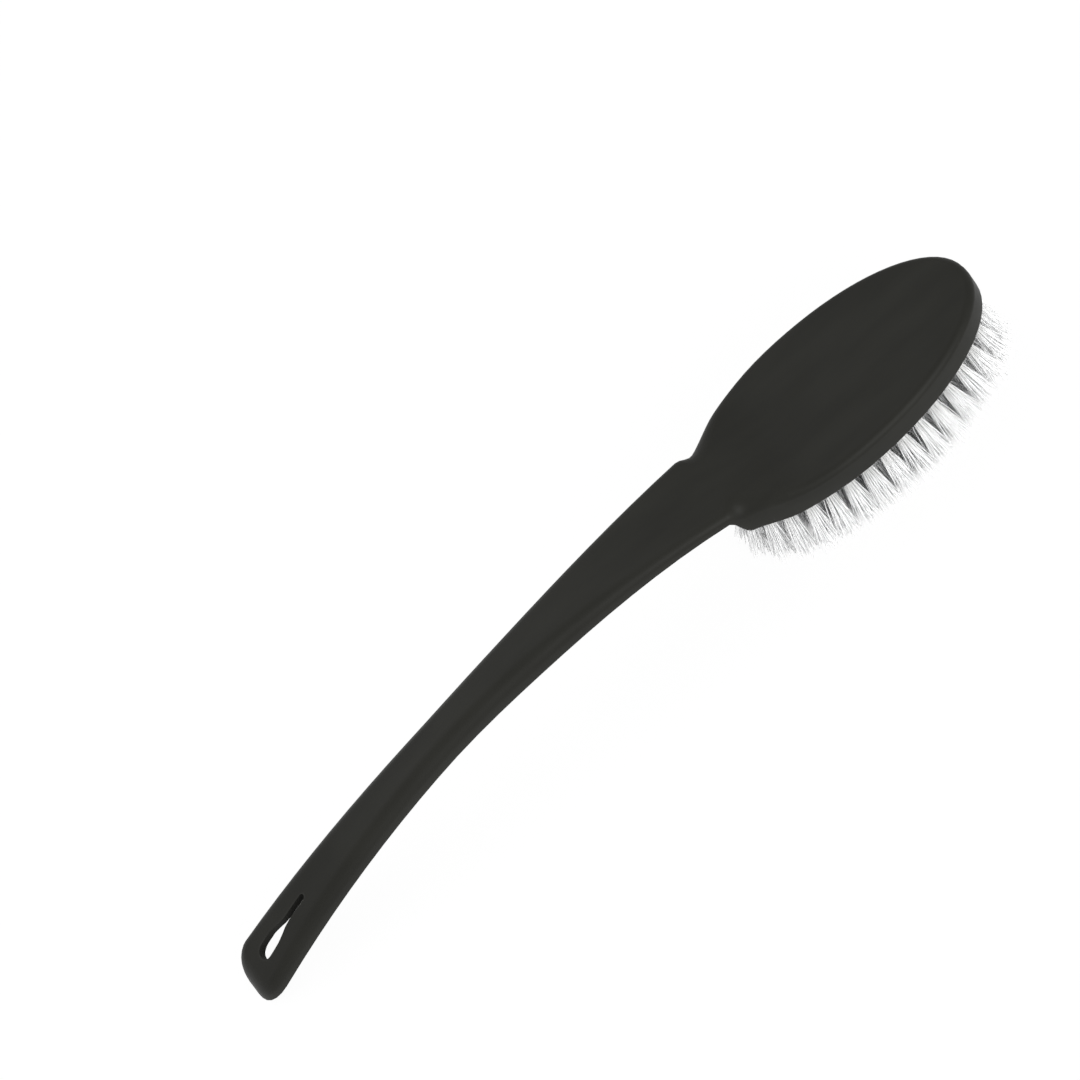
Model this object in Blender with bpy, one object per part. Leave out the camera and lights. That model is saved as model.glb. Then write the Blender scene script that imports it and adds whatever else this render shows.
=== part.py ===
"""Bath brush: a moulded body with an oval head and a long bowed handle, and nylon
tufts set in blind holes in the underside of the head.

Metres, +Z up. The brush rests bristles down on z = 0, on the cut tips of its tufts
and on the tail of its handle. +X points from the tail to the tip of the head, and
the brush is symmetric about y = 0. The origin is the middle of its footprint.

The body is drawn on its back: u is the distance from the head's centre towards the
tail, measured along the back's middle line, y is the distance to the side, and h is
the height over the back, along the line's normal.
"""
import math

import bmesh
import bpy
from mathutils import Vector

# Head
HEAD_LENGTH = 0.124
HEAD_WIDTH = 0.063
HEAD_THICKNESS = 0.0125
HEAD_BACK_EDGE = 0.003
HEAD_UNDER_EDGE = 0.0015
HEAD_ROUNDNESS = 2.14       # power of the oval: 2 is an ellipse, more is squarer
HEAD_EGG_SHARE = 0.07       # how much wider the head is towards its neck

# Neck: the back turns up out of the head here, and the handle leaves it
NECK_OVERLAP = 0.0345       # how far inside the head's end the back starts to rise
NECK_TURN_RADIUS = 0.065
NECK_RISE = math.radians(11.5)
NECK_WIDTH = 0.0352
NECK_THICKNESS = 0.0055
NECK_STEP_START = 0.005     # how far inside the head's end the underside starts to step up
NECK_STEP_LENGTH = 0.007
NECK_EDGE_BLEND = 0.010     # stretch past the head's end where its edges become the handle's
NOTCH_SOFTNESS = 0.006      # rounding of the corners between head and handle

# Handle
HANDLE_REACH = 0.2455       # level distance from the head's end to the tail's end
GRIP_THICKNESS = 0.0105
GRIP_SHARE = 0.40           # where along the handle it is thickest
HANDLE_BACK_SHARE = 0.52    # height of the rounded back edges in the thickness
HANDLE_UNDER_SHARE = 0.12   # height of the rounded edges of the underside
HANDLE_EDGE_WIDTH_SHARE = 1.15  # width of those edges, of their height
WAIST_WIDTH = 0.0170
WAIST_SHARE = 0.53          # where along the handle it is narrowest
TAIL_WIDTH = 0.0261
TAIL_THICKNESS = 0.0065
TAIL_CORNER_LENGTH = 0.008
TAIL_CORNER_WIDTH = 0.0095
TAIL_LEAN_SHARE = 0.9       # how far the foot of the tail's end stands out, of its depth
TAIL_LEAN_LENGTH = 0.012    # stretch over which its sections start to lean
TAPER_POWER = 1.6           # how late the grip thins out to the tail
NECK_FLARE_POWER = 1.65     # how late the waist widens to the neck
TAIL_FLARE_POWER = 1.5      # how late it widens to the tail

# Hang slot: a keyhole, wide towards the tail
SLOT_LENGTH = 0.0305
SLOT_WIDTH = 0.0064
SLOT_NARROW_WIDTH = 0.0024
SLOT_TAPER_SHARES = (0.2, 0.6)  # where along it the sides start and stop drawing in
SLOT_MARGIN = 0.0095        # material between the slot and the tail's end
SLOT_BACK_EDGE = 0.0006
SLOT_WALL_HEIGHT = 0.0031   # of its upright wall, from the back down to the bevel
SLOT_BEVEL_WIDTH = 0.0035   # of the bevel round it on the underside

# Tufts: folded bundles of nylon bristle, each pressed into its own blind hole
BRISTLE_LENGTH = 0.0297     # from the underside of the head to the cut tips
HOLE_DIAMETER = 0.0038
HOLE_DEPTH = 0.007
TUFT_INSET = 0.0065         # from the head's outline to the outer row's middle
ROW_SPACING = 0.0105
TIP_CLEARANCE = 0.0012      # between the tips of neighbouring tufts
TUFT_ROWS = (("outer", 32), ("middle", 17), ("inner", 9))
STRANDS_PER_TUFT = 8
STRAND_GAP = 0.00012        # half the gap between two strands at the root
STRAND_TIP_SHARE = 0.85     # a strand's width at its tip, of its width at the root
LEAN_LENGTH_SHARE = 0.08    # how far the tips lean out along the head
LEAN_WIDTH_SHARE = 0.12     # how far they lean out to its sides

# Fits
CLEARANCE = 0.0003          # around a tuft in its hole
OVERRUN = 0.002             # by which a cutter runs past a surface

# Resolution
HEAD_STATIONS = 26
NECK_STATIONS = 13
HANDLE_STATIONS = 22
CORNER_STATIONS = 6
BACK_EDGE_STEPS = 4
UNDER_EDGE_STEPS = 3
SLOT_END_STEPS = 8
SLOT_SIDE_STEPS = 8
SLOT_EDGE_STEPS = 2
SMOOTH_ANGLE = math.radians(40)

HEAD_END = HEAD_LENGTH / 2
NECK_START = HEAD_END - NECK_OVERLAP
TIP_DEPTH = HEAD_THICKNESS + BRISTLE_LENGTH


def clear_scene():
    for thing in list(bpy.data.objects):
        bpy.data.objects.remove(thing, do_unlink=True)


def plastic(name, colour, roughness):
    material = bpy.data.materials.new(name)
    material.use_nodes = True
    shader = material.node_tree.nodes["Principled BSDF"]
    shader.inputs["Base Color"].default_value = (*colour, 1)
    shader.inputs["Roughness"].default_value = roughness
    shader.inputs["Metallic"].default_value = 0
    return material


def add_object(name, bm, material, parent):
    bmesh.ops.recalc_face_normals(bm, faces=bm.faces)
    mesh = bpy.data.meshes.new(name)
    bm.to_mesh(mesh)
    bm.free()
    thing = bpy.data.objects.new(name, mesh)
    bpy.context.collection.objects.link(thing)
    thing.parent = parent
    if material:
        mesh.materials.append(material)
    return thing


def add_cutter(name, bm, body):
    cutter = add_object(name, bm, None, body.parent)
    cutter.hide_render = True
    cutter.display_type = "WIRE"
    cut = body.modifiers.new(name, "BOOLEAN")
    cut.operation = "DIFFERENCE"
    cut.solver = "EXACT"
    cut.object = cutter


def mix(start, end, share):
    return start + (end - start) * share


def smooth_step(value, start, end):
    share = min(max((value - start) / (end - start), 0), 1)
    return share * share * (3 - 2 * share)


def smooth_max(a, b, softness):
    near = max(softness - abs(a - b), 0)
    return max(a, b) + near * near / (4 * softness)


class BackLine:
    """The middle line of the back, seen from the side: level over the head, turned up
    at the neck, then one long arc down to the tail, which ends drop below the head's
    back."""

    def __init__(self, drop):
        self.turn_end = NECK_START + NECK_TURN_RADIUS * NECK_RISE
        self.turn_x = -NECK_START - NECK_TURN_RADIUS * math.sin(NECK_RISE)
        self.turn_z = NECK_TURN_RADIUS * (1 - math.cos(NECK_RISE))
        run = HEAD_END + HANDLE_REACH + self.turn_x
        chord_slope = math.atan2(self.turn_z + drop, run)
        self.tail_slope = 2 * chord_slope + NECK_RISE
        self.radius = run / (math.sin(self.tail_slope) + math.sin(NECK_RISE))
        self.end = self.turn_end + self.radius * (self.tail_slope + NECK_RISE)

    def at(self, u):
        """Level place, height and downward slope of the line at u."""
        if u <= NECK_START:
            return -u, 0, 0
        if u <= self.turn_end:
            slope = -(u - NECK_START) / NECK_TURN_RADIUS
            x = -NECK_START + NECK_TURN_RADIUS * math.sin(slope)
            return x, NECK_TURN_RADIUS * (1 - math.cos(slope)), slope
        slope = (u - self.turn_end) / self.radius - NECK_RISE
        x = self.turn_x - self.radius * (math.sin(slope) + math.sin(NECK_RISE))
        z = self.turn_z + self.radius * (math.cos(slope) - math.cos(NECK_RISE))
        return x, z, slope

    def place(self, u, y, h):
        """The point at u, y and h. Below the back, the tail's end leans out."""
        lean = TAIL_LEAN_SHARE * smooth_step(u, self.end - TAIL_LEAN_LENGTH, self.end)
        x, z, slope = self.at(u - lean * h)
        return Vector((x - h * math.sin(slope), y, z + h * math.cos(slope)))

    def handle_share(self, u):
        return min(max((u - HEAD_END) / (self.end - HEAD_END), 0), 1)

    def thickness(self, u):
        _, z, slope = self.at(u)
        to_head_plane = (HEAD_THICKNESS + z) / math.cos(slope)
        share = self.handle_share(u)
        if share < GRIP_SHARE:
            handle = mix(NECK_THICKNESS, GRIP_THICKNESS, smooth_step(share, 0, GRIP_SHARE))
        else:
            taper = ((share - GRIP_SHARE) / (1 - GRIP_SHARE)) ** TAPER_POWER
            handle = mix(GRIP_THICKNESS, TAIL_THICKNESS, taper)
        step_start = HEAD_END - NECK_STEP_START
        return mix(to_head_plane, handle, smooth_step(u, step_start, step_start + NECK_STEP_LENGTH))

    def edge(self, u, head_edge, handle_share):
        """Width and height of the rounded edge at u."""
        to_handle = smooth_step(u, NECK_START, HEAD_END + NECK_EDGE_BLEND)
        height = mix(head_edge, self.thickness(u) * handle_share, to_handle)
        return height * mix(1, HANDLE_EDGE_WIDTH_SHARE, to_handle), height

    def handle_half_width(self, u):
        share = self.handle_share(u)
        if share < WAIST_SHARE:
            flare = (1 - share / WAIST_SHARE) ** NECK_FLARE_POWER
            return mix(WAIST_WIDTH, NECK_WIDTH, flare) / 2
        flare = ((share - WAIST_SHARE) / (1 - WAIST_SHARE)) ** TAIL_FLARE_POWER
        return mix(WAIST_WIDTH, TAIL_WIDTH, flare) / 2

    def half_width(self, u):
        head = head_half_width(u, HEAD_LENGTH, HEAD_WIDTH)
        if u <= 0:
            return head
        return smooth_max(head, self.handle_half_width(u), NOTCH_SOFTNESS)


def head_half_width(u, length, width):
    share = min(abs(2 * u / length), 1)
    oval = (1 - share ** HEAD_ROUNDNESS) ** (1 / HEAD_ROUNDNESS)
    return width / 2 * oval * (1 + HEAD_EGG_SHARE * 2 * u / length)


def edge_profile(width, height, steps):
    """Inset and depth below the face, from the flat face out to the side wall."""
    angles = [math.radians(90) * (1 - step / steps) for step in range(steps + 1)]
    return [(width * (1 - math.cos(a)), height * (1 - math.sin(a))) for a in angles]


def body_outline(line):
    """One side of the body's outline, seen square to its back, from tip to tail. Its
    places are close together from the notches, where the oval is as wide as the neck,
    to the end of the step on the underside."""
    notch_share = (1 - (NECK_WIDTH / HEAD_WIDTH) ** HEAD_ROUNDNESS) ** (1 / HEAD_ROUNDNESS)
    neck_start = HEAD_END * notch_share - 2 * NOTCH_SOFTNESS
    neck_end = HEAD_END - NECK_STEP_START + NECK_STEP_LENGTH
    corner_start = line.end - TAIL_CORNER_LENGTH
    last_angle = math.acos(-neck_start / HEAD_END)
    places = [-HEAD_END * math.cos(last_angle * step / HEAD_STATIONS) for step in range(HEAD_STATIONS)]
    places += [mix(neck_start, neck_end, step / NECK_STATIONS) for step in range(NECK_STATIONS)]
    places += [mix(neck_end, corner_start, step / HANDLE_STATIONS) for step in range(HANDLE_STATIONS)]
    outline = [(u, line.half_width(u)) for u in places]
    outline[0] = (-HEAD_END, 0)
    for step in range(CORNER_STATIONS + 1):
        angle = math.radians(90) * step / CORNER_STATIONS
        u = corner_start + TAIL_CORNER_LENGTH * math.sin(angle)
        side = line.half_width(u) - TAIL_CORNER_WIDTH * (1 - math.cos(angle))
        outline.append((u, side))
    outline.append((line.end, 0))
    return outline


def outline_normals(outline):
    """Unit vectors out of the outline, in the plane of u and y."""
    normals = [Vector((-1, 0))]
    for before, after in zip(outline, outline[2:]):
        along = Vector(after) - Vector(before)
        normals.append(Vector((-along.y, along.x)).normalized())
    return normals + [Vector((1, 0))]


def body_layers(line, u):
    """Inset and height of each ring of the body at u, from the back to the underside."""
    back = edge_profile(*line.edge(u, HEAD_BACK_EDGE, HANDLE_BACK_SHARE), BACK_EDGE_STEPS)
    under = edge_profile(*line.edge(u, HEAD_UNDER_EDGE, HANDLE_UNDER_SHARE), UNDER_EDGE_STEPS)
    thickness = line.thickness(u)
    upper = [(inset, -depth) for inset, depth in back]
    lower = [(inset, depth - thickness) for inset, depth in under[::-1]]
    return upper + lower


def lowest_of_tail(line):
    ends = [line.place(line.end - inset, 0, h) for inset, h in body_layers(line, line.end)]
    return min(point.z for point in ends)


def settled_line():
    """The back's line whose tail comes down to the plane of the bristle tips."""
    drop = TIP_DEPTH
    for _ in range(10):
        drop += TIP_DEPTH + lowest_of_tail(BackLine(drop))
    return BackLine(drop)


def body_mesh(line):
    outline = body_outline(line)
    normals = outline_normals(outline)
    layers = [body_layers(line, u) for u, _ in outline]
    last = len(outline) - 1
    bm = bmesh.new()
    rings = []
    for level in range(len(layers[0])):
        near, far = [], []
        for index, (u, y) in enumerate(outline):
            inset, h = layers[index][level]
            place = Vector((u, y)) - normals[index] * inset
            near.append(bm.verts.new(line.place(place.x, place.y, h)))
            if 0 < index < last:
                far.append(bm.verts.new(line.place(place.x, -place.y, h)))
        rings.append((near, [near[0]] + far + [near[last]]))
    for upper, lower in zip(rings, rings[1:]):
        loops = [upper[0] + upper[1][-2:0:-1], lower[0] + lower[1][-2:0:-1]]
        for index in range(len(loops[0])):
            after = (index + 1) % len(loops[0])
            bm.faces.new((loops[0][index], loops[0][after], loops[1][after], loops[1][index]))
    for near, far in (rings[0], rings[-1]):
        for index in range(last):
            corners = (near[index], near[index + 1], far[index + 1], far[index])
            bm.faces.new(dict.fromkeys(corners))
    return bm


def row_places(length, width, count):
    """Evenly spaced places (x, y) on an oval, or on a line where it has no width. Its
    first place or gap lies on the middle line, so the row is symmetric about it."""
    if width <= 0:
        step = length / (count - 1)
        return [(-length / 2 + step * index, 0) for index in range(count)]
    fine = 720
    angles = [math.tau * step / fine for step in range(fine + 1)]
    points = []
    for angle in angles:
        u = -length / 2 * math.cos(angle)
        side = math.copysign(head_half_width(u, length, width), math.sin(angle))
        points.append(Vector((-u, side)))
    walked = [0]
    for before, after in zip(points, points[1:]):
        walked.append(walked[-1] + (after - before).length)
    offset = 0.5 if count % 2 == 0 else 0
    places = []
    segment = 0
    for index in range(count):
        target = walked[-1] * (index + offset) / count
        while walked[segment + 1] < target:
            segment += 1
        share = (target - walked[segment]) / (walked[segment + 1] - walked[segment])
        places.append(tuple(points[segment].lerp(points[segment + 1], share)))
    return places


def tuft_places():
    """Name, root and spread at the tips of every tuft."""
    tufts = []
    for row, (name, count) in enumerate(TUFT_ROWS):
        inset = TUFT_INSET + ROW_SPACING * row
        length = HEAD_LENGTH - 2 * inset
        width = HEAD_WIDTH - 2 * inset
        if row == len(TUFT_ROWS) - 1:
            width = 0
        places = row_places(length, width, count)
        pitch = (Vector(places[0]) - Vector(places[1])).length
        for index, place in enumerate(places):
            tufts.append((f"{name}_tuft_{index + 1:02d}", place, pitch / 2 - TIP_CLEARANCE / 2))
    return tufts


def hole_cutter(tufts):
    bm = bmesh.new()
    for _, (x, y), _ in tufts:
        made = bmesh.ops.create_cone(
            bm,
            cap_ends=True,
            segments=STRANDS_PER_TUFT,
            radius1=HOLE_DIAMETER / 2,
            radius2=HOLE_DIAMETER / 2,
            depth=HOLE_DEPTH + OVERRUN,
        )
        middle = (HOLE_DEPTH - OVERRUN) / 2 - HEAD_THICKNESS
        bmesh.ops.translate(bm, verts=made["verts"], vec=(x, y, middle))
    return bm


def arc(centre, radius, start, sweep):
    """Points along an arc in u and y."""
    angles = [start + sweep * step / SLOT_END_STEPS for step in range(SLOT_END_STEPS + 1)]
    return [Vector((centre + radius * math.cos(a), radius * math.sin(a))) for a in angles]


def slot_outline(line, grow):
    """The keyhole in u and y, grown outwards by grow: a half circle at each end, and
    sides that draw in from the wide one to the narrow one."""
    wide = SLOT_WIDTH / 2
    narrow = SLOT_NARROW_WIDTH / 2
    wide_at = line.end - SLOT_MARGIN - wide
    narrow_at = line.end - SLOT_MARGIN - SLOT_LENGTH + narrow
    side = []
    for step in range(1, SLOT_SIDE_STEPS):
        share = step / SLOT_SIDE_STEPS
        half_width = mix(wide, narrow, smooth_step(share, *SLOT_TAPER_SHARES))
        side.append(Vector((mix(wide_at, narrow_at, share), half_width + grow)))
    opposite = [Vector((place.x, -place.y)) for place in reversed(side)]
    half_turn = math.radians(180)
    tail_arc = arc(wide_at, wide + grow, -half_turn / 2, half_turn)
    head_arc = arc(narrow_at, narrow + grow, half_turn / 2, half_turn)
    return tail_arc + side + head_arc + opposite


def slot_cutter(line):
    """The keyhole's rings from above the back to below the underside. A height above
    the back is given as it is, and one with through = -1 counts from the underside."""
    back = edge_profile(SLOT_BACK_EDGE, SLOT_BACK_EDGE, SLOT_EDGE_STEPS)
    levels = [(SLOT_BACK_EDGE, OVERRUN, 0)]
    levels += [(SLOT_BACK_EDGE - inset, -depth, 0) for inset, depth in back]
    levels += [(0, -SLOT_WALL_HEIGHT, 0), (SLOT_BEVEL_WIDTH, 0, -1), (SLOT_BEVEL_WIDTH, -OVERRUN, -1)]
    bm = bmesh.new()
    rings = []
    for grow, h, through in levels:
        ring = []
        for place in slot_outline(line, grow):
            height = h + through * line.thickness(place.x)
            ring.append(bm.verts.new(line.place(place.x, place.y, height)))
        rings.append(ring)
    for upper, lower in zip(rings, rings[1:]):
        for index in range(len(upper)):
            after = (index + 1) % len(upper)
            bm.faces.new((upper[index], upper[after], lower[after], lower[index]))
    bm.faces.new(rings[0])
    bm.faces.new(rings[-1])
    return bm


def add_body(line, tufts, material, parent):
    body = add_object("body", body_mesh(line), material, parent)
    add_cutter("tuft_holes", hole_cutter(tufts), body)
    add_cutter("hang_slot", slot_cutter(line), body)
    body.data.shade_smooth()
    body.data.set_sharp_from_angle(angle=SMOOTH_ANGLE)
    return body


def add_tuft(name, place, spread, material, parent):
    """A tuft with its origin at the mouth of its hole: a root that fills the hole, and
    strands drawn out of the root's face, which flare and lean to their cut tips."""
    bm = bmesh.new()
    radius = HOLE_DIAMETER / 2 - CLEARANCE
    bmesh.ops.create_circle(bm, cap_ends=True, cap_tris=True, segments=STRANDS_PER_TUFT, radius=radius)
    wedges = list(bm.faces)
    rim = [edge for edge in bm.edges if edge.is_boundary]
    pulled = bmesh.ops.extrude_edge_only(bm, edges=rim)["geom"]
    root_end = [part for part in pulled if isinstance(part, bmesh.types.BMVert)]
    bmesh.ops.translate(bm, verts=root_end, vec=(0, 0, HOLE_DEPTH - CLEARANCE))
    bmesh.ops.contextual_create(bm, geom=[edge for edge in bm.edges if edge.is_boundary])
    bmesh.ops.inset_individual(bm, faces=wedges, thickness=STRAND_GAP)
    strands = bmesh.ops.extrude_discrete_faces(bm, faces=wedges)["faces"]
    lean = Vector((place[0] * LEAN_LENGTH_SHARE, place[1] * LEAN_WIDTH_SHARE, -BRISTLE_LENGTH))
    for strand in strands:
        middle = strand.calc_center_median()
        tip = lean + middle.normalized() * (spread - middle.length)
        for corner in strand.verts:
            corner.co = tip + (corner.co - middle) * STRAND_TIP_SHARE
    tuft = add_object(name, bm, material, parent)
    tuft.location = (place[0], place[1], -HEAD_THICKNESS)
    return tuft


def build():
    clear_scene()
    body_plastic = plastic("black_plastic", (0.031, 0.031, 0.028), 0.42)
    nylon = plastic("white_nylon", (0.83, 0.84, 0.84), 0.35)
    brush = bpy.data.objects.new("bath_brush", None)
    bpy.context.collection.objects.link(brush)

    line = settled_line()
    tufts = tuft_places()
    add_body(line, tufts, body_plastic, brush)
    reach = []
    for name, place, spread in tufts:
        tuft = add_tuft(name, place, spread, nylon, brush)
        reach += [tuft.location.x + vertex.co.x for vertex in tuft.data.vertices]

    tail = min(line.place(line.end - inset, 0, h).x for inset, h in body_layers(line, line.end))
    brush.location = (-(tail + max(reach)) / 2, 0, TIP_DEPTH)
    print(f"overall length {max(reach) - tail:.4f} m, handle radius {line.radius:.4f} m")
    print(f"{len(tufts)} tufts, {len(tufts) * STRANDS_PER_TUFT} strands, head centre {brush.location[:]}")


build()
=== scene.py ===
# %% [markdown]
# # A bath brush, from its frame to a finished picture
# A bath brush has two materials. Its head, neck and long bowed handle are one moulding of black
# plastic, and under the head stand tufts of white nylon bristles. The solid shapes come from a
# packed model, called the frame. This lesson gives the moulding its satin finish, grows real
# bristles where the frame has thick stand-in strands, and sets up a small white studio.
#
# Lengths are in metres, as in the frame: +X runs along the brush from its tail to the tip of its
# head, and +Z is up. The brush lies on its bristle tips and on its tail.

# %% Load the frame
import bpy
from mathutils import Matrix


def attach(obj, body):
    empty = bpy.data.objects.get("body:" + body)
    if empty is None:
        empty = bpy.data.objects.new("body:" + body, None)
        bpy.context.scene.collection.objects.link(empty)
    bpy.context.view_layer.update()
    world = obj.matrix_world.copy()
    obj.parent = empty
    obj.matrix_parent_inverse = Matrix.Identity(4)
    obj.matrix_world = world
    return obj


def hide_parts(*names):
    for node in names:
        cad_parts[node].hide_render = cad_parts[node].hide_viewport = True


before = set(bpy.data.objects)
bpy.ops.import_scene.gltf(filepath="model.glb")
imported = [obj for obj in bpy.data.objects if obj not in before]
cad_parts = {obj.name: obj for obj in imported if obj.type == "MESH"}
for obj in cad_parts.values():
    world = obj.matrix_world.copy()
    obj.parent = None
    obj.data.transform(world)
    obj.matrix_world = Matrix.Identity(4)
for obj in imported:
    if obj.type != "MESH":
        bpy.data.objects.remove(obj)        # its bodies, its nodes, and the record that describes them
print("the frame holds", len(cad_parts), "solid pieces")

# %% Measure it
import math

import bpy
import numpy as np
from mathutils import Quaternion, Vector

MM = 0.001

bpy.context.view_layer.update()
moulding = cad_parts["body"]
tufts = sorted(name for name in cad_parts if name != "body")

print("the moulding has", len(moulding.data.polygons), "faces, and there are", len(tufts), "tufts")

# %% [markdown]
# ## Node trees as sums
# A finish is a tree of nodes, and a tree that is built call by call is hard to read. Two small
# classes make it read like a formula. A `Wiring` adds nodes of any type to a tree: it is told the
# type, the settings, which are set first, and what goes into the sockets. It hands back a `Value`,
# which stands for the new node's output. Two values can be added, subtracted or multiplied, and
# each sign adds the Math node that does it. A sum of plain numbers stays in Python.

# %% A value that can be reckoned with
class Value:
    """One output socket of a node."""

    def __init__(self, wiring, socket):
        self.wiring, self.socket = wiring, socket

    def reckon(self, operation, first, second):
        return self.wiring.node("ShaderNodeMath", {"operation": operation}, {0: first, 1: second})

    def __add__(self, other):
        return self.reckon("ADD", self, other)

    def __mul__(self, other):
        return self.reckon("MULTIPLY", self, other)

    def __sub__(self, other):
        return self.reckon("SUBTRACT", self, other)

    def __rsub__(self, other):
        return self.reckon("SUBTRACT", other, self)

    __radd__ = __add__
    __rmul__ = __mul__


SIGNS = ("__add__", "__radd__", "__sub__", "__rsub__", "__mul__", "__rmul__")
print("signs that work on a value:", [sign for sign in SIGNS if sign in vars(Value)])

# %% A tree that nodes are added to
class Wiring:
    """Adds nodes to one tree and links them."""

    def __init__(self, tree):
        self.tree = tree
        tree.nodes.clear()

    def node(self, kind, settings=None, inputs=None, output=0):
        made = self.tree.nodes.new(kind)
        for name, setting in (settings or {}).items():
            setattr(made, name, setting)
        for place, given in (inputs or {}).items():
            if isinstance(given, Value):
                self.tree.links.new(given.socket, made.inputs[place])
            else:
                made.inputs[place].default_value = given
        return Value(self, made.outputs[output] if made.outputs else None)

    def blend(self, share, first, second):
        """A colour between two colours."""
        return self.node("ShaderNodeMix", {"data_type": "RGBA"}, {0: share, 6: first, 7: second}, 2)

    def spread(self, value, low, high, to_low=0.0, to_high=1.0):
        """A value's range low to high, mapped softly onto another range."""
        return self.node(
            "ShaderNodeMapRange",
            {"interpolation_type": "SMOOTHSTEP"},
            {0: value, 1: low, 2: high, 3: to_low, 4: to_high},
        )


print("what a wiring can do:", [name for name in vars(Wiring) if not name.startswith("_")])

# %% [markdown]
# ## Smooth faces
# The frame's moulding is made of flat facets, and the real one has smooth curves, apart from the
# edges of its slot and holes. Its shape is right, so it stays, and only its shading changes. A
# node group, used as a modifier, welds the facets' corners together and keeps an edge sharp only
# where two faces meet at a clear angle. A weighted normal modifier then lets the large faces
# decide how the light turns, so the flat back stays flat.

# %% Weld the facets and shade them softly
SHARP_ANGLE = math.radians(38)
WELD_DISTANCE = 0.001 * MM


def smooth_facets(piece):
    """Adds the modifiers that shade a faceted piece as one smooth surface."""
    group = bpy.data.node_groups.new("smooth_facets", "GeometryNodeTree")
    wiring = Wiring(group)
    for way in ("INPUT", "OUTPUT"):
        group.interface.new_socket("Mesh", in_out=way, socket_type="NodeSocketGeometry")
    facets = wiring.node("NodeGroupInput")
    welded = wiring.node(
        "GeometryNodeMergeByDistance", None, {"Geometry": facets, "Distance": WELD_DISTANCE}
    )
    plain = wiring.node(
        "GeometryNodeSetMeshNormal", {"mode": "SHARPNESS"}, {"Mesh": welded, "Remove Custom": True}
    )
    soft = wiring.node(
        "GeometryNodeSetShadeSmooth", {"domain": "FACE"}, {"Geometry": plain, "Shade Smooth": True}
    )
    angle = wiring.node("GeometryNodeInputMeshEdgeAngle")
    clear = wiring.node(
        "FunctionNodeCompare", {"operation": "GREATER_THAN"}, {0: angle, 1: SHARP_ANGLE}
    )
    edged = wiring.node(
        "GeometryNodeSetShadeSmooth",
        {"domain": "EDGE"},
        {"Geometry": soft, "Selection": clear, "Shade Smooth": False},
    )
    wiring.node("NodeGroupOutput", None, {0: edged})
    piece.modifiers.new("weld", "NODES").node_group = group
    weighted = piece.modifiers.new("weighted", "WEIGHTED_NORMAL")
    weighted.keep_sharp = True


smooth_facets(moulding)
shaded = moulding.evaluated_get(bpy.context.evaluated_depsgraph_get()).data
print("corners before and after welding:", len(moulding.data.vertices), len(shaded.vertices))

# %% [markdown]
# ## Satin black plastic
# The moulding is polypropylene or a like plastic, coloured through with carbon black. It isn't
# quite neutral: next to a grey card it leans a little to olive. The mould was spark-eroded, which
# leaves a fine even grain of about a third of a millimetre and a satin shine. Three things break
# the evenness on a real one: the melt leaves faint long streaks where it flowed down the handle,
# hands polish the grip, and the edges are rubbed a little brighter. The edges' lighter colour is
# also a painted highlight, standing in for light caught by their rounding.
#
# All of these are patterns in the object's own space, so they stay on the brush from any side.

# %% Materials and patterns
def new_material(name):
    """An empty node material and the wiring for it."""
    material = bpy.data.materials.new(name)
    material.use_nodes = True
    return material, Wiring(material.node_tree)


def on_object(wiring):
    """A point in the object's own space, in metres."""
    return wiring.node("ShaderNodeTexCoord", output="Object")


def stretched(wiring, scale):
    """The same point with its three directions scaled."""
    point = on_object(wiring)
    return wiring.node("ShaderNodeVectorMath", {"operation": "MULTIPLY"}, {0: point, 1: scale})


def noise(wiring, where, size, detail=2.0, roughness=0.5):
    """A cloudy pattern whose blobs are about size metres across."""
    settings = {"noise_dimensions": "3D", "normalize": True}
    inputs = {"Vector": where, "Scale": 1 / size, "Detail": detail, "Roughness": roughness}
    return wiring.node("ShaderNodeTexNoise", settings, inputs)


print("blobs of 1 mm take a noise scale of", round(1 / MM))

# %% Mix the plastic
PLASTIC_DEEP = (0.0098, 0.0098, 0.0079, 1)
PLASTIC_PALE = (0.0130, 0.0130, 0.0106, 1)
# the lighter colour of the edges is partly rubbed wear and partly a painted highlight
EDGE_WEAR_AND_HIGHLIGHT = (0.026, 0.026, 0.023, 1)
SATIN, MIRROR_LEVEL = 0.47, 0.12
GRIP_START, GRIP_MIDDLE, GRIP_END = -0.17, -0.085, 0.0
FLOW_SIZE, FLOW_STRETCH = 14 * MM, (0.25, 1, 1)
GRAIN_SIZE, GRAIN_DEPTH, GRAIN_STRENGTH = 0.34 * MM, 0.012 * MM, 0.35
SCUFF_SIZE, SCUFF_STRETCH = 5 * MM, (0.5, 1.6, 1)
EDGE_REACH, EDGE_SAMPLES = 0.9 * MM, 4


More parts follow.
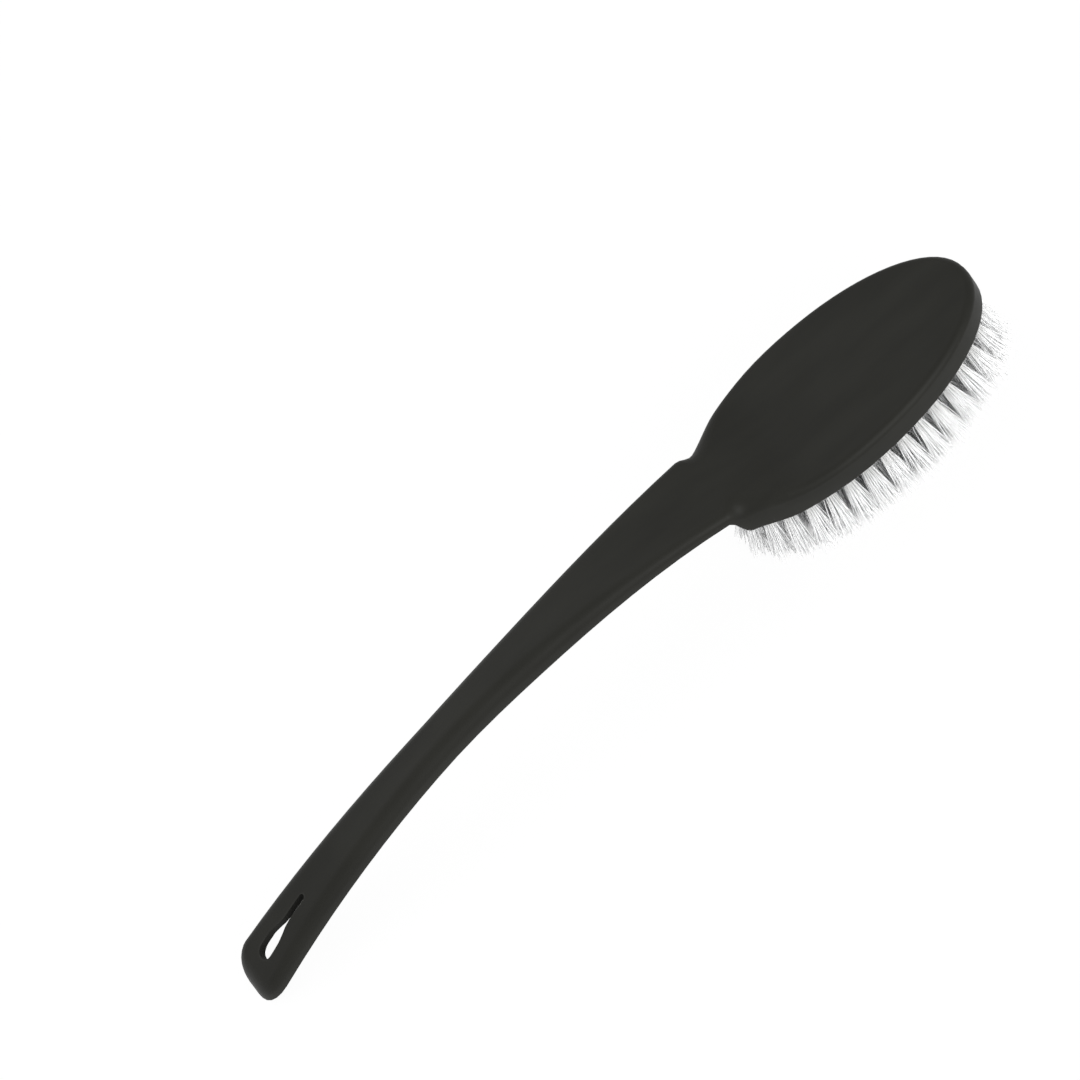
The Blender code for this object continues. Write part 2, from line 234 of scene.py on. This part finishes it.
def satin_black_plastic():
    """Black plastic with streaks, a fine grain, scuffs, a polished grip, and lighter edges that are
    partly rubbed and partly a painted highlight.
    """
    material, wiring = new_material("satin_black_plastic")
    point = on_object(wiring)
    x = wiring.node("ShaderNodeSeparateXYZ", None, {0: point})
    rising = wiring.spread(x, GRIP_START, GRIP_MIDDLE)
    grip = rising * wiring.spread(x, GRIP_MIDDLE, GRIP_END, 1, 0)

    flow = noise(wiring, stretched(wiring, FLOW_STRETCH), FLOW_SIZE)
    grain = noise(wiring, point, GRAIN_SIZE, detail=1)
    scuffs = noise(wiring, stretched(wiring, SCUFF_STRETCH), SCUFF_SIZE, detail=5, roughness=0.62)

    # near an edge the bevelled normal turns away from the true one
    turned = wiring.node("ShaderNodeBevel", {"samples": EDGE_SAMPLES}, {"Radius": EDGE_REACH})
    true = wiring.node("ShaderNodeNewGeometry", output="Normal")
    agree = wiring.node(
        "ShaderNodeVectorMath", {"operation": "DOT_PRODUCT"}, {0: turned, 1: true}, "Value"
    )
    # lighter edges: partly rubbed wear, partly a painted highlight where the rounded edge catches
    # light
    edge_wear_and_highlight = wiring.spread(agree, 0.98, 0.80) * wiring.spread(scuffs, 0.30, 0.65)

    streaks = wiring.spread(flow + 0.35 * (grain - 0.5), 0.3, 0.7)
    tone = wiring.blend(streaks, PLASTIC_DEEP, PLASTIC_PALE)
    colour = wiring.blend(0.6 * edge_wear_and_highlight, tone, EDGE_WEAR_AND_HIGHLIGHT)
    shine = SATIN + 0.10 * (scuffs - 0.5) + 0.06 * (grain - 0.5) - 0.06 * grip - 0.08 * edge_wear_and_highlight
    bump = wiring.node(
        "ShaderNodeBump",
        None,
        {"Strength": GRAIN_STRENGTH, "Distance": GRAIN_DEPTH, "Height": grain},
    )
    surface = wiring.node(
        "ShaderNodeBsdfPrincipled",
        None,
        {
            "Base Color": colour,
            "Roughness": shine,
            "Specular IOR Level": MIRROR_LEVEL,
            "Normal": bump,
        },
    )
    wiring.node("ShaderNodeOutputMaterial", None, {"Surface": surface})
    return material


moulding.material_slots[0].material = satin_black_plastic()
print("the moulding's finish:", moulding.material_slots[0].material.name)

# %% [markdown]
# ## Nylon bristles
# A tuft on the real brush is a bundle of some ninety ends of nylon filament, 0.3 mm thick, folded
# over a small metal anchor and driven into a hole. The hole squeezes the bundle tight. Below it
# the ends fan out slowly at first and then faster, so that past half their length the tufts run
# into each other, and dark wedges show between their roots. A machine trims all tips flat.
#
# Hair curves would give this look, but they are no mesh and would be lost in an export. A bundle
# is therefore one mesh of thin tubes. Each frame tuft says where its bundle goes: the top of its
# solid root gives the hole, and its strands' tips, in the plane z = 0, say how far it leans and
# fans out.

# %% Read where each tuft stands
MOUTH_HEIGHT = 29.7 * MM
ROOT_RADIUS = 1.6 * MM
END_DEPTH = 0.2 * MM     # corners this near to an end of the tuft belong to that end


def read_tuft(name):
    """Centre of the hole, top of the root, centre of the tips and how far they reach."""
    points = np.array([v.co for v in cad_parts[name].data.vertices])
    top = points[:, 2].max()
    root = points[points[:, 2] > top - END_DEPTH][:, :2]
    tips = points[points[:, 2] < END_DEPTH][:, :2]
    middle = (tips.min(0) + tips.max(0)) / 2
    reach = np.linalg.norm(tips - middle, axis=1).max()
    return (root.min(0) + root.max(0)) / 2, top, middle, reach


places = {name: read_tuft(name) for name in tufts}
reaches = [reach for hole, top, middle, reach in places.values()]
tops = [top for hole, top, middle, reach in places.values()]
print("the tips of a tuft reach", round(float(np.mean(reaches)) / MM, 2), "mm from its middle")
print("the roots end at", round(float(max(tops)) / MM, 1), "mm")

# %% Grow one bundle
FILAMENTS = 90
FILAMENT_RADIUS = 0.145 * MM
FILAMENT_SIDES = 5
GOLDEN_ANGLE = math.pi * (3 - math.sqrt(5))
FAN = 1.75               # how much wider a bundle spreads than its frame tuft
FAN_POWER = 1.45         # above one, it spreads slowly at first and then faster
LOOSENESS = 0.12         # how far tips stray, as a share of the spread
BOW = 0.5 * MM           # how far a filament bows out halfway
TRIM = 0.25 * MM         # how unevenly the tips are cut
# shares of the free length from the hole's mouth to the tip, and the tube's thickness at each
STEPS = (0.0, 0.12, 0.26, 0.42, 0.6, 0.8, 0.985, 1.0)
TAPER = (1.0, 1.0, 1.0, 1.0, 1.0, 1.0, 0.96, 0.55)


def filament_lines(name, seed):
    """The centre line of every filament in a bundle, as an array of filaments, points and xyz."""
    hole, top, middle, reach = places[name]
    draw = np.random.default_rng(seed)
    count = np.arange(FILAMENTS)
    out = np.sqrt((count + 0.5) / FILAMENTS)
    turn = count * GOLDEN_ANGLE + draw.uniform(0, math.tau)
    spoke = np.stack([np.cos(turn), np.sin(turn)], 1)
    start = hole + spoke * (out * (ROOT_RADIUS - FILAMENT_RADIUS))[:, None]
    loose = draw.normal(0, LOOSENESS, (FILAMENTS, 2))
    end = middle + (spoke * out[:, None] + loose) * reach * FAN
    bow = draw.normal(0, BOW, (FILAMENTS, 2))
    foot = np.abs(draw.normal(0, TRIM, FILAMENTS)).clip(0, 3 * TRIM)

    share = np.array(STEPS)[None, :, None]
    flat = start[:, None] + (end - start)[:, None] * share ** FAN_POWER
    flat = flat + bow[:, None] * np.sin(math.pi * share)
    height = MOUTH_HEIGHT + (foot[:, None] - MOUTH_HEIGHT) * share[..., 0]
    free = np.concatenate([flat, height[..., None]], 2)
    held = np.concatenate([start, np.full((FILAMENTS, 1), top)], 1)[:, None]
    return np.concatenate([held, free], 1)


def tubes(lines, radius, sides, taper):
    """Corners and faces of a closed tube round each line, all of them nearly upright."""
    angle = np.arange(sides) * math.tau / sides
    ring = np.stack([np.cos(angle), np.sin(angle), 0 * angle], 1) * radius
    thickness = np.array((1.0, *taper))[None, :, None, None]
    corners = (lines[:, :, None] + ring * thickness).reshape(-1, 3)
    strands, rings = lines.shape[:2]
    first = np.arange(strands) * rings * sides
    faces = []
    for base in first:
        for level in range(rings - 1):
            for side in range(sides):
                after = (side + 1) % sides
                low, high = base + level * sides, base + (level + 1) * sides
                faces.append((low + after, low + side, high + side, high + after))
        faces.append(tuple(base + side for side in range(sides)))
        faces.append(tuple(base + (rings - 1) * sides + side for side in reversed(range(sides))))
    return corners, faces


sample = filament_lines(tufts[0], 0)
print("one bundle has", sample.shape[0], "filaments, with", sample.shape[1], "points each")

# %% [markdown]
# ## Milky nylon
# Brush nylon is white because it is milky, not because it is painted: light enters a filament,
# scatters and comes out elsewhere, so no thread throws a hard shadow on the next. Subsurface
# scattering over a depth of half a millimetre or so, about two filaments, does just that.
# Filaments come from one spool but age unevenly, so the white wanders a little from one to the
# next. The cut tips are frosted, which makes them rougher. Towards the head the nylon is painted
# greyer: that grey is painted shade, for the little light that reaches the filaments there.

# %% Mix the nylon
NYLON_WHITE = (0.975, 0.978, 0.978, 1)
NYLON_GREY = (0.95, 0.954, 0.957, 1)
# the grey towards the head is painted shade, where little light reaches the filaments
NYLON_PAINTED_SHADE = (0.62, 0.62, 0.61, 1)
NYLON_DULL = 0.34
STRAND_WIDTH, STRAND_STRETCH = 0.9 * MM, (1, 1, 0.06)
ROOT_SHADE_START, ROOT_SHADE_FULL, ROOT_SHADE_SHARE = 14 * MM, 23 * MM, 0.85
FROST_HEIGHT = 1.5 * MM
MILKY_SHARE, MILKY_DEPTH = 0.6, 0.6 * MM


def white_nylon():
    """Milky white nylon that differs from strand to strand, frosted low down and grey high up with
    painted shade.
    """
    material, wiring = new_material("white_nylon_filament")
    height = wiring.node("ShaderNodeSeparateXYZ", None, {0: on_object(wiring)}, "Z")
    strand = noise(wiring, stretched(wiring, STRAND_STRETCH), STRAND_WIDTH)
    frost = wiring.spread(height, 0, FROST_HEIGHT, 1, 0)
    # painted shade: the nylon turns grey towards the head
    painted_root_shade = ROOT_SHADE_SHARE * wiring.spread(height, ROOT_SHADE_START, ROOT_SHADE_FULL)
    clean = wiring.blend(wiring.spread(strand, 0.35, 0.65) + 0.5 * frost, NYLON_GREY, NYLON_WHITE)
    inputs = {
        "Base Color": wiring.blend(painted_root_shade, clean, NYLON_PAINTED_SHADE),
        "Roughness": NYLON_DULL + 0.3 * frost + 0.12 * (strand - 0.5),
        "Subsurface Weight": MILKY_SHARE,
        "Subsurface Scale": MILKY_DEPTH,
        "Subsurface Radius": (1, 1, 1),
    }
    surface = wiring.node("ShaderNodeBsdfPrincipled", None, inputs)
    wiring.node("ShaderNodeOutputMaterial", None, {"Surface": surface})
    return material


nylon = white_nylon()
print("the bristles' finish:", nylon.name)

# %% Plant the bristles
for number, name in enumerate(tufts):
    corners, faces = tubes(filament_lines(name, number), FILAMENT_RADIUS, FILAMENT_SIDES, TAPER)
    mesh = bpy.data.meshes.new(name + "_bristles")
    mesh.from_pydata(corners.tolist(), [], faces)
    mesh.shade_smooth()
    mesh.materials.append(nylon)
    bundle = bpy.data.objects.new(name + "_bristles", mesh)
    bpy.context.scene.collection.objects.link(bundle)
    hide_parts(name)
    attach(bundle, "root")

print("planted", len(tufts) * FILAMENTS, "filaments in", len(tufts), "holes")

# %% [markdown]
# ## A white studio
# The brush was photographed on white, with light from everywhere. The floor is a plain matt sheet.
# A matt white alone would render as pale grey, so the camera, and any shiny thing that mirrors the
# floor, sees most of it as light of strength one, which is white. The rest is the real sheet, and
# that part keeps the brush's shadow. Beneath the middle of the head the sheet is seen just as it
# is: it lies in deep shade there, and the dark wedges between the tufts look right only if that
# shade shows. The air round the brush is white light of strength one as well.
#
# One large soft lamp hangs above and behind, and one stands low in front of the head, where it
# lights the bristles from the side.

# %% The floor
WHITE = (1, 1, 1, 1)
SEEN_AS_LIGHT = 0.95
PAPER, PAPER_FIBRE = (0.90, 0.90, 0.90, 1), (0.84, 0.84, 0.84, 1)
FIBRE_SIZE, FIBRE_SHARE = 6 * MM, 0.03
FLOOR_SIDE = 12.0
HEAD_MIDDLE = (0.1237, 0, 0)
HEAD_REACH = (62.0 * MM, 31.5 * MM, 1)
SHADE_FADE = (0.62, 1.0)     # where the shade starts to fade and ends, as shares of the reach


def seen_directly(wiring):
    """One for rays from the camera, from a mirror or through glass, and nought for all others."""
    kinds = ("Is Camera Ray", "Is Glossy Ray", "Is Transmission Ray")
    rays = [wiring.node("ShaderNodeLightPath", output=kind) for kind in kinds]
    return rays[0] + rays[1] + rays[2]


def under_head(wiring):
    """One on the floor beneath the middle of the head, fading to nought at the rim of its oval."""
    away = on_object(wiring)
    for sign, by in (("SUBTRACT", HEAD_MIDDLE), ("DIVIDE", HEAD_REACH)):
        away = wiring.node("ShaderNodeVectorMath", {"operation": sign}, {0: away, 1: by})
    share = wiring.node("ShaderNodeVectorMath", {"operation": "LENGTH"}, {0: away}, "Value")
    return wiring.spread(share, *SHADE_FADE, 1, 0)


def floor_paper():
    """Matt paper that is seen mostly as white light."""
    material, wiring = new_material("floor_paper")
    fibre = noise(wiring, on_object(wiring), FIBRE_SIZE, detail=3)
    shade = wiring.blend(FIBRE_SHARE * fibre, PAPER, PAPER_FIBRE)
    sheet = wiring.node("ShaderNodeBsdfDiffuse", None, {"Color": shade})
    light = wiring.node("ShaderNodeEmission", None, {"Color": WHITE, "Strength": 1})
    share = SEEN_AS_LIGHT * seen_directly(wiring) * (1 - under_head(wiring))
    mixed = wiring.node("ShaderNodeMixShader", None, {0: share, 1: sheet, 2: light})
    wiring.node("ShaderNodeOutputMaterial", None, {"Surface": mixed})
    return material


bpy.ops.mesh.primitive_plane_add(size=FLOOR_SIDE)
floor = bpy.context.object
floor.name = "floor"
floor.data.materials.append(floor_paper())
print("the floor is a sheet", FLOOR_SIDE, "m wide")

# %% The air and the lamps
LAMP_SIDE = 1.4
LAMP_AIM = Vector((0, 0, 0.02))


def studio_world():
    """White air of strength one on every side."""
    world = bpy.data.worlds.new("studio")
    world.use_nodes = True
    wiring = Wiring(world.node_tree)
    air = wiring.node("ShaderNodeBackground", None, {"Color": WHITE, "Strength": 1})
    wiring.node("ShaderNodeOutputWorld", None, {"Surface": air})
    bpy.context.scene.world = world


def softbox(name, place, power):
    """A square area lamp that points at the middle of the brush."""
    light = bpy.data.lights.new(name, "AREA")
    light.size, light.energy = LAMP_SIDE, power
    lamp = bpy.data.objects.new(name, light)
    lamp.location = place
    lamp.rotation_euler = (LAMP_AIM - Vector(place)).to_track_quat("-Z", "Y").to_euler()
    bpy.context.scene.collection.objects.link(lamp)


studio_world()
softbox("softbox_above", (-0.5, 0.9, 1.6), 8)
softbox("softbox_at_bristles", (0.5, -1.6, 0.7), 22)

# %% [markdown]
# ## The camera
# The photograph looks down on the brush from a little over 50 degrees, from far off through a long
# lens, and it is turned so that the brush runs from the lower left to the upper right. The place,
# the turn and the lens were found by laying the brush's outline on the photograph's.

# %% Place the camera
CAMERA_PLACE = Vector((0.02203, -0.94184, 1.37353))
CAMERA_AIM = Vector((0.00435, 0.04371, 0.03000))
CAMERA_ROLL = math.radians(42.800)
LENS_MM = 149.49
SENSOR_MM = 36.0
CLIP_NEAR, CLIP_FAR = 0.05, 50

seen = bpy.data.cameras.new("camera")
seen.lens, seen.sensor_width = LENS_MM, SENSOR_MM
seen.clip_start, seen.clip_end = CLIP_NEAR, CLIP_FAR
camera = bpy.data.objects.new("camera", seen)
camera.location = CAMERA_PLACE
level = (CAMERA_AIM - CAMERA_PLACE).to_track_quat("-Z", "Y")
camera.rotation_mode = "QUATERNION"
camera.rotation_quaternion = level @ Quaternion((0, 0, 1), -CAMERA_ROLL)
bpy.context.scene.collection.objects.link(camera)
bpy.context.scene.camera = camera
bpy.context.scene.view_settings.view_transform = "Standard"
print("the camera is", round((CAMERA_AIM - CAMERA_PLACE).length, 3), "m from the brush")

# %% [markdown]
# ## How large it has become
# Dressing mustn't make the brush larger than it is. Only the filaments pass the frame's box, by
# about 3 mm, because they fan out further than the stand-in strands.
